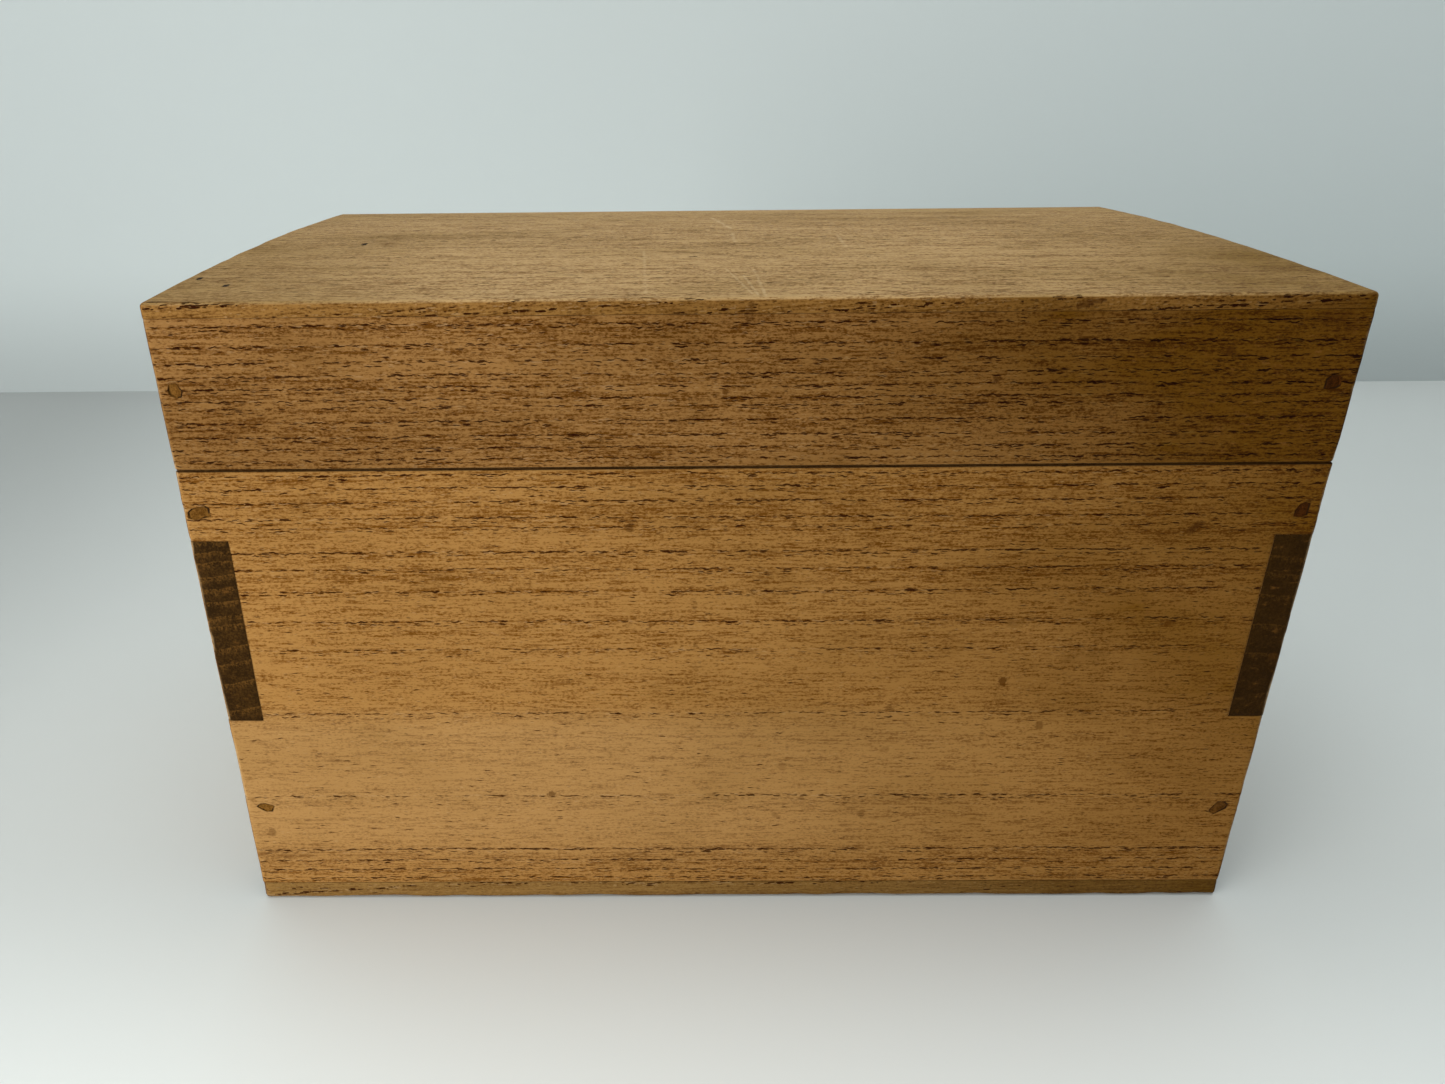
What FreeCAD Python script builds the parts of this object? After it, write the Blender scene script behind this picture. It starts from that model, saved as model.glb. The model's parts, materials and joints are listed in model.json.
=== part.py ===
import FreeCAD, Part
import os
import Sketcher

# A paulownia wood box with a flush lift-off lid. Four boards meet in three-part finger
# joints, held by whittled wooden nails. The carcass is sawn apart into body and lid, and
# a mitred liner stands above the body's rim to keep the lid in place.
# The frame: +Z is up, the front faces -Y, and the origin is the middle of the underside.

os.makedirs("parts", exist_ok=True)
doc = FreeCAD.newDocument("PaulowniaBox")

# Driving dimensions, in millimetres
SIZES = {
    "box_width": 242.0,
    "box_depth": 141.0,
    "top_edge_thickness": 3.1,
    "crown_rise": 1.5,
    "bottom_thickness": 5.1,
    "lower_finger": 49.0,
    "middle_finger": 46.1,
    "upper_finger_on_body": 16.2,
    "lid_wall_height": 31.9,
    "front_wall": 8.6,
    "end_wall": 8.6,
    "arris_radius": 1.0,
    "seam_bevel": 0.3,
    "liner_thickness": 3.0,
    "lip_height": 12.0,
    "lip_bevel": 0.8,
    "lid_clearance": 0.3,
    "nail_width": 4.0,
    "nail_length": 22.0,
    "nail_tip_share": 0.35,
    "long_side_nail_pitch": 84.0,
    "end_nail_pitch": 66.0,
    "cut_overrun": 1.0,
}
sheet = doc.addObject("Spreadsheet::Sheet", "Sizes")
for row, (alias, size) in enumerate(SIZES.items(), start=1):
    sheet.set(f"A{row}", alias.replace("_", " "))
    sheet.set(f"B{row}", str(size))
    sheet.setAlias(f"B{row}", alias)
doc.recompute()

# Formulas in the sheet's sizes that several pieces share
HALF_WIDTH = "Sizes.box_width / 2"
HALF_DEPTH = "Sizes.box_depth / 2"
INNER_WIDTH = "(Sizes.box_width - 2 * Sizes.end_wall)"
INNER_DEPTH = "(Sizes.box_depth - 2 * Sizes.front_wall)"
FINGER_TOP = "(Sizes.lower_finger + Sizes.middle_finger)"
WALL_HEIGHT = f"({FINGER_TOP} + Sizes.upper_finger_on_body)"
RIM_HEIGHT = f"(Sizes.bottom_thickness + {WALL_HEIGHT})"

Z_AXIS = FreeCAD.Vector(0, 0, 1)
UNTURNED = FreeCAD.Rotation(Z_AXIS, 0)
ABOUT = FreeCAD.Rotation(Z_AXIS, 180)
TOLERANCE = 1e-6


def value(formula):
    """Return the number that a formula in the sheet's sizes gives."""
    result = sheet.evalExpression(formula)
    return float(getattr(result, "Value", result))


def same(first, second):
    """Tell whether two lengths are the same to within rounding."""
    return abs(first - second) < TOLERANCE


def new_body(name, place, rotation=UNTURNED):
    """Add a body whose place is bound to three formulas."""
    body = doc.addObject("PartDesign::Body", name)
    body.Placement = FreeCAD.Placement(FreeCAD.Vector(), rotation)
    for axis, formula in zip("xyz", place):
        body.setExpression(f"Placement.Base.{axis}", formula)
    return body


def new_sketch(body, name, role):
    """Add a sketch on one of the body's own origin planes."""
    sketch = body.newObject("Sketcher::SketchObject", name)
    plane = next(item for item in body.Origin.OriginFeatures if item.Role == role)
    sketch.AttachmentSupport = (plane, "")
    sketch.MapMode = "FlatFace"
    return sketch


def bind_point(sketch, line, end, across, up):
    """Bind one end of a sketch line to two formulas."""
    for kind, formula in (("DistanceX", across), ("DistanceY", up)):
        rule = Sketcher.Constraint(kind, -1, 1, line, end, value(formula))
        number = sketch.addConstraint(rule)
        sketch.setExpression(f"Constraints[{number}]", formula)


def draw_outline(sketch, corners):
    """Draw a closed outline through corners, each a pair of formulas."""
    first = len(sketch.Geometry)
    points = [FreeCAD.Vector(value(across), value(up), 0) for across, up in corners]
    for start, end in zip(points, points[1:] + points[:1]):
        sketch.addGeometry(Part.LineSegment(start, end))
    for step, (across, up) in enumerate(corners):
        previous = first + (step - 1) % len(corners)
        sketch.addConstraint(Sketcher.Constraint("Coincident", previous, 2, first + step, 1))
        bind_point(sketch, first + step, 1, across, up)


def mirrored(right_side):
    """Close an outline with the mirror image of its right side."""
    return right_side + [(f"-({across})", up) for across, up in reversed(right_side)]


def pad(body, name, sketch, length, side="One side", backwards=False):
    """Pad a sketch by the length that a formula gives."""
    feature = body.newObject("PartDesign::Pad", name)
    feature.Profile = sketch
    feature.SideType = side
    feature.Reversed = backwards
    feature.setExpression("Length", length)
    doc.recompute()


def edges_where(feature, wanted):
    """Name the feature's edges whose two end points pass a test."""
    names = []
    for number, edge in enumerate(feature.Shape.Edges, start=1):
        ends = [vertex.Point for vertex in edge.Vertexes]
        if len(ends) == 2 and wanted(*ends):
            names.append(f"Edge{number}")
    return names


def ease(body, name, wanted):
    """Round the edges that pass a test, as a plane takes off an arris."""
    base = body.Tip
    feature = body.newObject("PartDesign::Fillet", name)
    feature.Base = (base, edges_where(base, wanted))
    feature.setExpression("Radius", "Sizes.arris_radius")
    doc.recompute()


def bevel(body, name, wanted):
    """Bevel the sawn edges that pass a test."""
    base = body.Tip
    feature = body.newObject("PartDesign::Chamfer", name)
    feature.Base = (base, edges_where(base, wanted))
    feature.setExpression("Size", "Sizes.seam_bevel")
    doc.recompute()


# Wall boards. Each is drawn as seen from outside, with its outer face on its own origin
# plane and its foot at height zero. right_side is its right edge from foot to top.

def long_board(name, side, foot, right_side, seam):
    """Make a front (side -1) or back (side 1) board."""
    place = ("0", f"{side} * {HALF_DEPTH}", foot)
    body = new_body(f"{name}_blank", place, UNTURNED if side < 0 else ABOUT)
    outline = new_sketch(body, f"{name}_outline", "XZ_Plane")
    draw_outline(outline, mirrored(right_side))
    pad(body, f"{name}_thickness", outline, "Sizes.front_wall", backwards=True)
    half = value(HALF_WIDTH)
    inner = value("Sizes.front_wall")
    sawn = value(seam)
    ease(body, f"{name}_arrises", lambda start, end: (
        same(start.y, 0) and same(end.y, 0) and same(start.x, end.x)
        and same(abs(start.x), half)))
    bevel(body, f"{name}_sawn_edge", lambda start, end: (
        same(start.z, sawn) and same(end.z, sawn)
        and not (same(start.y, inner) and same(end.y, inner))))
    return body


def end_board(name, side, foot, right_side, seam):
    """Make a left (side -1) or right (side 1) end board."""
    place = (f"{side} * {HALF_WIDTH}", "0", foot)
    body = new_body(f"{name}_blank", place, UNTURNED if side < 0 else ABOUT)
    outline = new_sketch(body, f"{name}_outline", "YZ_Plane")
    draw_outline(outline, mirrored(right_side))
    pad(body, f"{name}_thickness", outline, "Sizes.end_wall")
    sawn = value(seam)
    bevel(body, f"{name}_sawn_edge", lambda start, end: (
        same(start.x, 0) and same(end.x, 0) and same(start.z, sawn) and same(end.z, sawn)))
    return body


# Body front and back boards: an upper and a lower finger run out to the corners, and the
# end boards' middle fingers fill the notches between them
SHOULDER = f"({HALF_WIDTH} - Sizes.end_wall)"
FINGERED_EDGE = [
    (HALF_WIDTH, "0"),
    (HALF_WIDTH, "Sizes.lower_finger"),
    (SHOULDER, "Sizes.lower_finger"),
    (SHOULDER, FINGER_TOP),
    (HALF_WIDTH, FINGER_TOP),
    (HALF_WIDTH, WALL_HEIGHT),
]
body_walls = {}
for name, side in (("body_front_board", -1), ("body_back_board", 1)):
    body_walls[name] = long_board(
        name, side, "Sizes.bottom_thickness", FINGERED_EDGE, WALL_HEIGHT)

# Body end boards: one middle finger at each corner, flush with the outer faces
END_SHOULDER = f"({HALF_DEPTH} - Sizes.front_wall)"
MIDDLE_FINGER_EDGE = [
    (END_SHOULDER, "0"),
    (END_SHOULDER, "Sizes.lower_finger"),
    (HALF_DEPTH, "Sizes.lower_finger"),
    (HALF_DEPTH, FINGER_TOP),
    (END_SHOULDER, FINGER_TOP),
    (END_SHOULDER, WALL_HEIGHT),
]
half_depth = value(HALF_DEPTH)
for name, side in (("body_left_end_board", -1), ("body_right_end_board", 1)):
    body_walls[name] = end_board(
        name, side, "Sizes.bottom_thickness", MIDDLE_FINGER_EDGE, WALL_HEIGHT)
    ease(body_walls[name], f"{name}_arrises", lambda start, end: (
        same(start.x, 0) and same(end.x, 0) and same(start.y, end.y)
        and same(abs(start.y), half_depth)))

# Bottom board: the full outline of the box, its foot and corners eased
bottom = new_body("bottom_board_blank", ("0", "0", "0"))
bottom_outline = new_sketch(bottom, "bottom_board_outline", "XY_Plane")
draw_outline(bottom_outline, [
    (f"-{HALF_WIDTH}", f"-{HALF_DEPTH}"),
    (HALF_WIDTH, f"-{HALF_DEPTH}"),
    (HALF_WIDTH, HALF_DEPTH),
    (f"-{HALF_WIDTH}", HALF_DEPTH),
])
pad(bottom, "bottom_board_thickness", bottom_outline, "Sizes.bottom_thickness")
bottom_top = value("Sizes.bottom_thickness")
ease(bottom, "bottom_board_arrises", lambda start, end: (
    not (same(start.z, bottom_top) and same(end.z, bottom_top))))
body_walls["bottom_board"] = bottom

# Lid walls: the sawn-off tops of the same boards, all of the upper finger
lid_walls = {}
LID_LONG_EDGE = [(HALF_WIDTH, "0"), (HALF_WIDTH, "Sizes.lid_wall_height")]
for name, side in (("lid_front_board", -1), ("lid_back_board", 1)):
    lid_walls[name] = long_board(name, side, RIM_HEIGHT, LID_LONG_EDGE, "0")
LID_END_EDGE = [(END_SHOULDER, "0"), (END_SHOULDER, "Sizes.lid_wall_height")]
for name, side in (("lid_left_end_board", -1), ("lid_right_end_board", 1)):
    lid_walls[name] = end_board(name, side, RIM_HEIGHT, LID_END_EDGE, "0")

# Lid top board: flat beneath, planed to a low crown from front to back
lid_top = new_body("lid_top_board", ("0", "0", f"{RIM_HEIGHT} + Sizes.lid_wall_height"))
top_section = new_sketch(lid_top, "lid_top_section", "YZ_Plane")
TOP_CORNERS = [
    (f"-{HALF_DEPTH}", "Sizes.top_edge_thickness"),
    (f"-{HALF_DEPTH}", "0"),
    (HALF_DEPTH, "0"),
    (HALF_DEPTH, "Sizes.top_edge_thickness"),
]
top_points = [FreeCAD.Vector(value(across), value(up), 0) for across, up in TOP_CORNERS]
crown_point = FreeCAD.Vector(0, value("Sizes.top_edge_thickness + Sizes.crown_rise"), 0)
for start, end in zip(top_points, top_points[1:]):
    top_section.addGeometry(Part.LineSegment(start, end))
crown = top_section.addGeometry(Part.Arc(top_points[-1], crown_point, top_points[0]))
for line in range(crown):
    bind_point(top_section, line, 1, *TOP_CORNERS[line])
    top_section.addConstraint(Sketcher.Constraint("Coincident", line, 2, line + 1, 1))
bind_point(top_section, crown, 1, *TOP_CORNERS[-1])
top_section.addConstraint(Sketcher.Constraint("Coincident", crown, 2, 0, 1))
CROWN_RADIUS = f"(({HALF_DEPTH}) ^ 2 + Sizes.crown_rise ^ 2) / (2 * Sizes.crown_rise)"
crown_rule = top_section.addConstraint(Sketcher.Constraint("Radius", crown, value(CROWN_RADIUS)))
top_section.setExpression(f"Constraints[{crown_rule}]", CROWN_RADIUS)
pad(lid_top, "lid_top_length", top_section, "Sizes.box_width", side="Symmetric")
ease(lid_top, "lid_top_arrises", lambda start, end: (
    not (same(start.z, 0) and same(end.z, 0))))

# Liner: thin boards glued inside the body, mitred at the corners. The lip above the rim
# stands back by the clearance and is bevelled, so that the lid finds its way on.
LINER_TOP = f"({WALL_HEIGHT} + Sizes.lip_height)"
LINER_SECTION = [
    ("0", "0"),
    ("Sizes.liner_thickness", "0"),
    ("Sizes.liner_thickness", LINER_TOP),
    ("Sizes.lid_clearance + Sizes.lip_bevel", LINER_TOP),
    ("Sizes.lid_clearance", f"{LINER_TOP} - Sizes.lip_bevel"),
    ("Sizes.lid_clearance", WALL_HEIGHT),
    ("0", WALL_HEIGHT),
]


def liner_board(name, place, turn, length):
    """Make a mitred liner board, its outer face on its own origin plane."""
    body = new_body(name, place, FreeCAD.Rotation(Z_AXIS, turn))
    section = new_sketch(body, f"{name}_section", "YZ_Plane")
    draw_outline(section, LINER_SECTION)
    pad(body, f"{name}_length", section, length, side="Symmetric")
    mitres = new_sketch(body, f"{name}_mitre_lines", "XY_Plane")
    beyond = f"({length} / 2 + Sizes.cut_overrun)"
    inside = "(Sizes.liner_thickness + Sizes.cut_overrun)"
    for sign in ("-", ""):
        draw_outline(mitres, [
            (f"{sign}{beyond}", "-Sizes.cut_overrun"),
            (f"{sign}{beyond}", inside),
            (f"{sign}({length} / 2 - {inside})", inside),
        ])
    cut = body.newObject("PartDesign::Pocket", f"{name}_mitres")
    cut.Profile = mitres
    cut.Type = "ThroughAll"
    cut.Reversed = True
    doc.recompute()
    return body


liner = [
    liner_board("liner_front", ("0", f"-{INNER_DEPTH} / 2", "Sizes.bottom_thickness"),
                0, INNER_WIDTH),
    liner_board("liner_right", (f"{INNER_WIDTH} / 2", "0", "Sizes.bottom_thickness"),
                90, INNER_DEPTH),
    liner_board("liner_back", ("0", f"{INNER_DEPTH} / 2", "Sizes.bottom_thickness"),
                180, INNER_WIDTH),
    liner_board("liner_left", (f"-{INNER_WIDTH} / 2", "0", "Sizes.bottom_thickness"),
                270, INNER_DEPTH),
]

# Wooden nails, whittled to a taper and cut flush. Each head outline is a ring of points
# as shares of the nail's width, seen from outside with the box standing.
HEAD_SHARES = {
    "blunt": ((-0.29, 0.32), (0.09, 0.38), (0.35, -0.04), (0.24, -0.36), (-0.05, -0.41),
              (-0.36, -0.22), (-0.39, 0.02)),
    "broad": ((-0.57, 0.05), (-0.35, 0.24), (0.42, 0.4), (0.6, 0.28), (0.6, -0.2),
              (-0.2, -0.39), (-0.6, -0.3)),
    "oblong": ((-0.55, 0.1), (-0.3, 0.28), (-0.02, 0.3), (0.52, 0.12), (0.38, -0.28),
               (0.0, -0.3), (-0.3, -0.12)),
    "square": ((-0.4, 0.17), (-0.12, 0.38), (0.25, 0.35), (0.38, 0.08), (0.4, -0.17),
               (0.22, -0.31), (-0.4, -0.33)),
    "upright": ((-0.35, 0.0), (-0.17, 0.35), (0.1, 0.45), (0.35, 0.36), (0.32, -0.28),
                (-0.05, -0.36), (-0.36, -0.35)),
    "slanting": ((-0.52, -0.15), (-0.12, 0.48), (0.32, 0.46), (0.55, 0.25), (0.45, -0.05),
                 (-0.2, -0.46), (-0.48, -0.3)),
}
# How a nail's own axes turn so that its head lies in each outer face
STAND_UP = FreeCAD.Rotation(FreeCAD.Vector(1, 0, 0), 90)
FACE_TURNS = {
    "front": STAND_UP,
    "right": FreeCAD.Rotation(Z_AXIS, 90) * STAND_UP,
    "back": ABOUT * STAND_UP,
    "left": FreeCAD.Rotation(Z_AXIS, 270) * STAND_UP,
    "underside": FreeCAD.Rotation(FreeCAD.Vector(1, 0, 0), 180),
}
NAIL_HEIGHTS = {
    "lid": f"{RIM_HEIGHT} + Sizes.lid_wall_height / 2",
    "upper": f"Sizes.bottom_thickness + ({FINGER_TOP} + {WALL_HEIGHT}) / 2",
    "middle": "Sizes.bottom_thickness + Sizes.lower_finger + Sizes.middle_finger / 2",
    "lower": "Sizes.bottom_thickness + Sizes.lower_finger / 2",
}


def nail(name, face, place, head, turn):
    """Make one tapered nail from its head outline, flush with an outer face."""
    rotation = FACE_TURNS[face] * FreeCAD.Rotation(Z_AXIS, turn)
    body = new_body(name, place, rotation)
    ends = []
    for end, width in (("head", "Sizes.nail_width"),
                       ("tip", "Sizes.nail_width * Sizes.nail_tip_share")):
        sketch = new_sketch(body, f"{name}_{end}", "XY_Plane")
        draw_outline(sketch, [
            (f"{across} * {width}", f"{up} * {width}") for across, up in HEAD_SHARES[head]])
        ends.append(sketch)
    ends[1].setExpression("AttachmentOffset.Base.z", "-Sizes.nail_length")
    taper = body.newObject("PartDesign::AdditiveLoft", f"{name}_taper")
    taper.Profile = ends[0]
    taper.Sections = [ends[1]]
    taper.Ruled = True
    return body


def nail_group(name, nails):
    """Keep nails of one face as separate solids under one name."""
    group = doc.addObject("Part::Compound", name)
    group.Links = nails
    return group


def long_side_nails(name, face, rows):
    """Drive nails through a front or back board, in the middle of the end boards' edges."""
    side = -1 if face == "front" else 1
    nails = []
    for number, (end, height, head, turn, across_share, up_share) in enumerate(rows, start=1):
        place = (
            f"{end} * ({HALF_WIDTH} - Sizes.end_wall / 2) + {across_share} * Sizes.nail_width",
            f"{side} * {HALF_DEPTH}",
            f"{NAIL_HEIGHTS[height]} + {up_share} * Sizes.nail_width",
        )
        nails.append(nail(f"{name}_{number}", face, place, head, turn))
    return nail_group(name, nails)


def end_nails(name, face, rows):
    """Drive nails through an end board's middle fingers, into the long boards' ends."""
    side = -1 if face == "left" else 1
    nails = []
    for number, (edge, head, turn, along_share, up_share) in enumerate(rows, start=1):
        place = (
            f"{side} * {HALF_WIDTH}",
            f"{edge} * ({HALF_DEPTH} - Sizes.front_wall / 2) + {along_share} * Sizes.nail_width",
            f"{NAIL_HEIGHTS['middle']} + {up_share} * Sizes.nail_width",
        )
        nails.append(nail(f"{name}_{number}", face, place, head, turn))
    return nail_group(name, nails)


# Each row: which end, which finger, head, turn in degrees, and how far the nail strays
# from the middle of its finger, as shares of its width
body_front_nails = long_side_nails("body_front_nails", "front", (
    (-1, "upper", "broad", 0, -0.2, -0.36),
    (-1, "lower", "oblong", 0, 0.17, -0.2),
    (1, "upper", "upright", 0, 0.0, -0.62),
    (1, "lower", "slanting", 0, -0.22, -0.5),
))
body_back_nails = long_side_nails("body_back_nails", "back", (
    (-1, "upper", "square", 90, 0.1, -0.3),
    (-1, "lower", "blunt", 180, -0.1, -0.4),
    (1, "upper", "oblong", 180, -0.08, -0.45),
    (1, "lower", "upright", 90, 0.12, -0.25),
))
lid_front_nails = long_side_nails("lid_front_nails", "front", (
    (-1, "lid", "blunt", 0, -0.08, 0.36),
    (1, "lid", "square", 0, -0.15, 0.31),
))
lid_back_nails = long_side_nails("lid_back_nails", "back", (
    (-1, "lid", "upright", 180, 0.1, 0.25),
    (1, "lid", "blunt", 90, -0.1, 0.35),
))
body_left_nails = end_nails("body_left_nails", "left", (
    (-1, "square", 0, 0.1, 0.3),
    (1, "upright", 90, -0.1, -0.2),
))
body_right_nails = end_nails("body_right_nails", "right", (
    (-1, "blunt", 90, -0.05, -0.25),
    (1, "square", 180, 0.08, 0.2),
))

# Nails through the bottom board into the walls' lower edges
bottom_places = []
for side in (-1, 1):
    for step in (-1, 0, 1):
        bottom_places.append((
            f"{step} * Sizes.long_side_nail_pitch",
            f"{side} * ({HALF_DEPTH} - Sizes.front_wall / 2)",
            "0",
        ))
    for step in (-1, 1):
        bottom_places.append((
            f"{side} * ({HALF_WIDTH} - Sizes.end_wall / 2)",
            f"{step} * Sizes.end_nail_pitch / 2",
            "0",
        ))
head_names = list(HEAD_SHARES)
bottom_nails = nail_group("bottom_nails", [
    nail(f"bottom_nails_{number}", "underside", place,
         head_names[number % len(head_names)], number * 90)
    for number, place in enumerate(bottom_places, start=1)])

# Nail holes: each board is cut by the nails that are driven through it
body_nail_groups = [
    body_front_nails, body_back_nails, body_left_nails, body_right_nails, bottom_nails]
lid_nail_groups = [lid_front_nails, lid_back_nails]
pieces = []
for walls, groups, tool_name in ((body_walls, body_nail_groups, "all_body_nails"),
                                 (lid_walls, lid_nail_groups, "all_lid_nails")):
    tool = doc.addObject("Part::Compound", tool_name)
    tool.Links = groups
    for name, blank in walls.items():
        board = doc.addObject("Part::Cut", name)
        board.Base = blank
        board.Tool = tool
        pieces.append(board)
pieces += [lid_top] + liner + body_nail_groups + lid_nail_groups
doc.recompute()

# Every object and every piece is checked before anything is written
for item in doc.Objects:
    if "Invalid" in item.State or "Error" in item.State:
        raise RuntimeError(f"{item.Label} is {item.State}")
for piece in pieces:
    if piece.Shape.isNull() or not piece.Shape.isValid():
        raise RuntimeError(f"{piece.Label} has no valid shape")
for piece in pieces:
    piece.Shape.exportStep(f"parts/{piece.Label}.step")
    solids = piece.Shape.Solids
    print(piece.Label, len(solids), "solids,", round(sum(solid.Volume for solid in solids), 1))
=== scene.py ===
import json
import math

import bmesh
import bpy
from mathutils import Matrix, Vector

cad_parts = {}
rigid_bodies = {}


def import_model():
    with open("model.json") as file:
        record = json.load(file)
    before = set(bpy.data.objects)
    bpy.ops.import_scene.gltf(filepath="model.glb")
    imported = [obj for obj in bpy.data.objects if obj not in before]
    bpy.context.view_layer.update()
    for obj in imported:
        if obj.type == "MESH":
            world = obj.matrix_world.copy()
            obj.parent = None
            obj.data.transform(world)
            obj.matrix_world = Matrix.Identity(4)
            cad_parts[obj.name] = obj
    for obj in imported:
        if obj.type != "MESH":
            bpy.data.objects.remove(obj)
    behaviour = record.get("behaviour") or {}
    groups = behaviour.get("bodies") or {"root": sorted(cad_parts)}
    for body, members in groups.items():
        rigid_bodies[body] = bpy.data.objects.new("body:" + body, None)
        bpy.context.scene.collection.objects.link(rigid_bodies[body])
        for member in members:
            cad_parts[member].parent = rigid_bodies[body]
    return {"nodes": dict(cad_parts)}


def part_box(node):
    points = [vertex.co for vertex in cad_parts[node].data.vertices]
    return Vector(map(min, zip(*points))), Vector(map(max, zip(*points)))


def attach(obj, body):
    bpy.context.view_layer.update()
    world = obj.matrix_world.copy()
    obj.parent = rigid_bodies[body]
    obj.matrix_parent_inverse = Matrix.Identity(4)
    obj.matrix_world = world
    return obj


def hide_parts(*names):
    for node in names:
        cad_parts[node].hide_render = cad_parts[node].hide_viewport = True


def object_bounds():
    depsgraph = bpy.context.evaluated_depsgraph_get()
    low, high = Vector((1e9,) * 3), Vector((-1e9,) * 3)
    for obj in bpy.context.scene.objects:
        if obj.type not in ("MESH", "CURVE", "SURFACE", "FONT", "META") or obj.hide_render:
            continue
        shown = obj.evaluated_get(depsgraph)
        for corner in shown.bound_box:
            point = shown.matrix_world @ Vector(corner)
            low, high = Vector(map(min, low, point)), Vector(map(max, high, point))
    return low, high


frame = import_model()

cad_low, cad_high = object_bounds()
MM = 0.001


# Body front and back boards
# Quarter-sawn paulownia, 8.6 mm thick, with an upper and a lower finger at each end that
# lap the end boards. They are glued, nailed, planed flush and eased along the arrises.

def node(tree, kind, inputs=None, **settings):
    """Add a node, set its properties, and give inputs a value or another node's output."""
    made = tree.nodes.new(kind)
    for name, setting in settings.items():
        setattr(made, name, setting)
    for socket, given in (inputs or {}).items():
        if isinstance(given, bpy.types.NodeSocket):
            tree.links.new(given, made.inputs[socket])
        else:
            made.inputs[socket].default_value = given
    return made


def maths(tree, operation, *values, clamp=False):
    """Add a maths node and return its result."""
    made = node(tree, "ShaderNodeMath", dict(enumerate(values)),
                operation=operation, use_clamp=clamp)
    return made.outputs[0]


def vectors(tree, operation, *values):
    """Add a vector maths node and return its vector, or its number where it gives one."""
    made = node(tree, "ShaderNodeVectorMath", dict(enumerate(values)), operation=operation)
    return made.outputs["Value" if operation in ("LENGTH", "DOT_PRODUCT") else "Vector"]


def scaled(tree, vector, factor):
    """Multiply a vector by a number."""
    made = node(tree, "ShaderNodeVectorMath", {0: vector, "Scale": factor}, operation="SCALE")
    return made.outputs["Vector"]


def ramp(tree, value, low, high, to_low=0.0, to_high=1.0):
    """Ease a value from one range to another, without leaving it."""
    made = node(tree, "ShaderNodeMapRange", {0: value, 1: low, 2: high, 3: to_low, 4: to_high},
                interpolation_type="SMOOTHSTEP")
    return made.outputs[0]


def noise(tree, position, scale, detail=2.0, roughness=0.5, **more):
    """Return smooth noise between 0 and 1."""
    inputs = {"Vector": position, "Scale": scale, "Detail": detail, "Roughness": roughness}
    return node(tree, "ShaderNodeTexNoise", inputs | more,
                noise_dimensions="4D" if "W" in more else "3D").outputs[0]


def blend(tree, share, first, second, kind="MIX"):
    """Mix two colours."""
    made = node(tree, "ShaderNodeMix", {0: share, 6: first, 7: second},
                data_type="RGBA", blend_type=kind)
    return made.outputs[2]


SOCKETS = {"number": "NodeSocketFloat", "vector": "NodeSocketVector",
           "colour": "NodeSocketColor", "shape": "NodeSocketGeometry",
           "material": "NodeSocketMaterial", "count": "NodeSocketInt"}


def new_group(name, kind, inputs, outputs):
    """Add a node group with named inputs and outputs; an input is a kind and a first value."""
    group = bpy.data.node_groups.new(name, kind)
    for label, (socket, first) in inputs.items():
        made = group.interface.new_socket(label, in_out="INPUT", socket_type=SOCKETS[socket])
        if first is not None:
            made.default_value = first
    for label, socket in outputs.items():
        group.interface.new_socket(label, in_out="OUTPUT", socket_type=SOCKETS[socket])
    return group, node(group, "NodeGroupInput").outputs, node(group, "NodeGroupOutput").inputs


SHARP = math.radians(32)


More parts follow.
